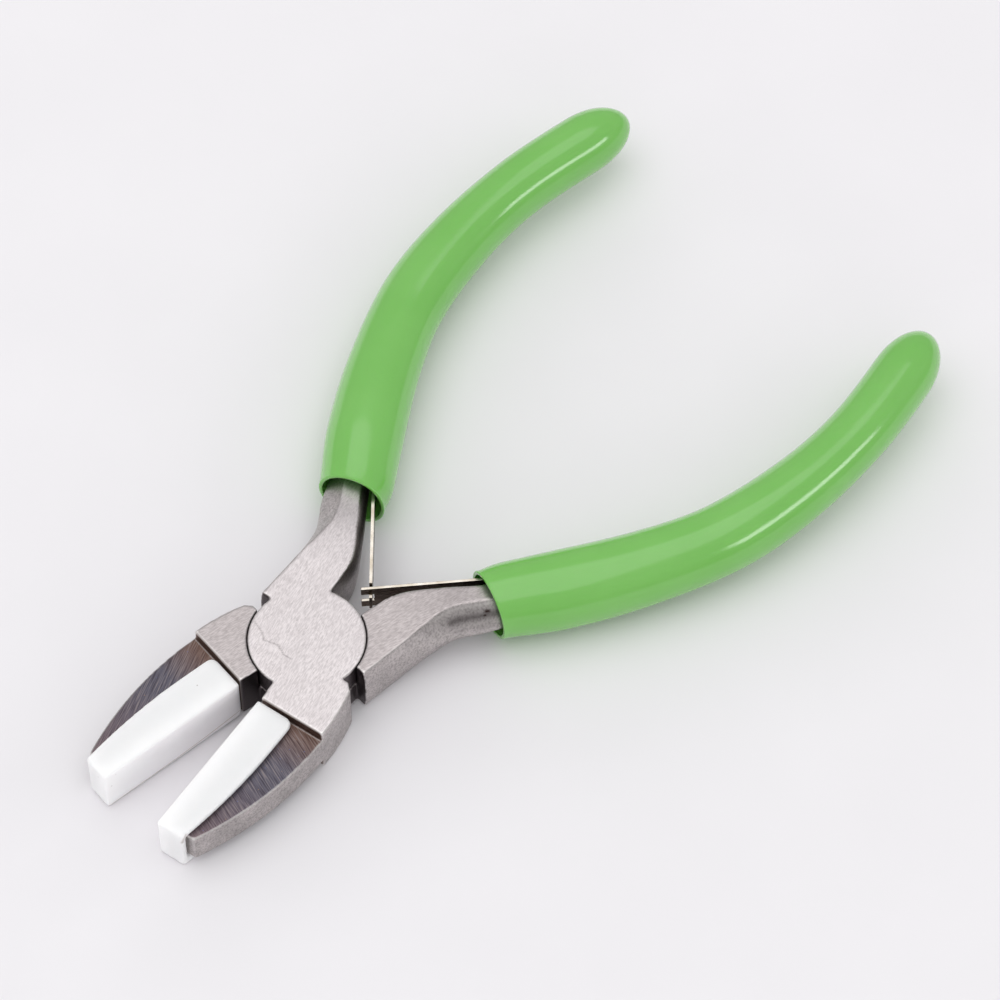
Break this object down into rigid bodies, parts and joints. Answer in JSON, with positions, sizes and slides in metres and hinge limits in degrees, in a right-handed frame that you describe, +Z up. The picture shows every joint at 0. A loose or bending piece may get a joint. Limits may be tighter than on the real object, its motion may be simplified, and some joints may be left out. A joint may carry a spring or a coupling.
{
  "type": "flat nose pliers",
  "caption": "Lap-jointed flat nose pliers with slip-over nylon jaw pads, hooked leaf springs and dipped grip sleeves, standing open.",
  "frame": {"origin": "the pivot axis, in the lower ground face of the joint", "axes": "+Z up along the pivot rivet, +Y towards the handles, -Y towards the nose, +X to the lower half's handle"},
  "size_m": [0.0712, 0.1271, 0.0107],
  "materials": {
    "upper_half_steel": "forged carbon steel, ground flat with fine lines along the half",
    "lower_half_steel": "forged carbon steel, ground flat with fine lines along the half",
    "rivet_steel": "steel rivet, ends ground flush with the joint",
    "spring_steel": "blued and polished spring strip, straw tinted",
    "nylon_white": "machined white nylon, slightly translucent, softly rounded edges",
    "vinyl_green": "dipped glossy green PVC"
  },
  "bodies": {
    "upper": {"upper_half": "upper_half_steel", "pivot_rivet": "rivet_steel", "upper_jaw_pad": "nylon_white", "hook_spring": "spring_steel", "hook_spring_rivet": "rivet_steel", "upper_grip_sleeve": "vinyl_green"},
    "lower": {"lower_half": "lower_half_steel", "lower_jaw_pad": "nylon_white", "fork_spring": "spring_steel", "fork_spring_rivet": "rivet_steel", "lower_grip_sleeve": "vinyl_green"}
  },
  "joints": [
    {"name": "pivot", "type": "hinge", "parent": "upper", "child": "lower", "pos_m": [0, 0, 0.00415], "axis": [0, 0, 1], "range_deg": [0, 15.8], "stiffness_Nm_per_rad": 0.6, "springref_deg": -6.88, "deforming": ["hook_spring", "fork_spring"]}
  ]
}
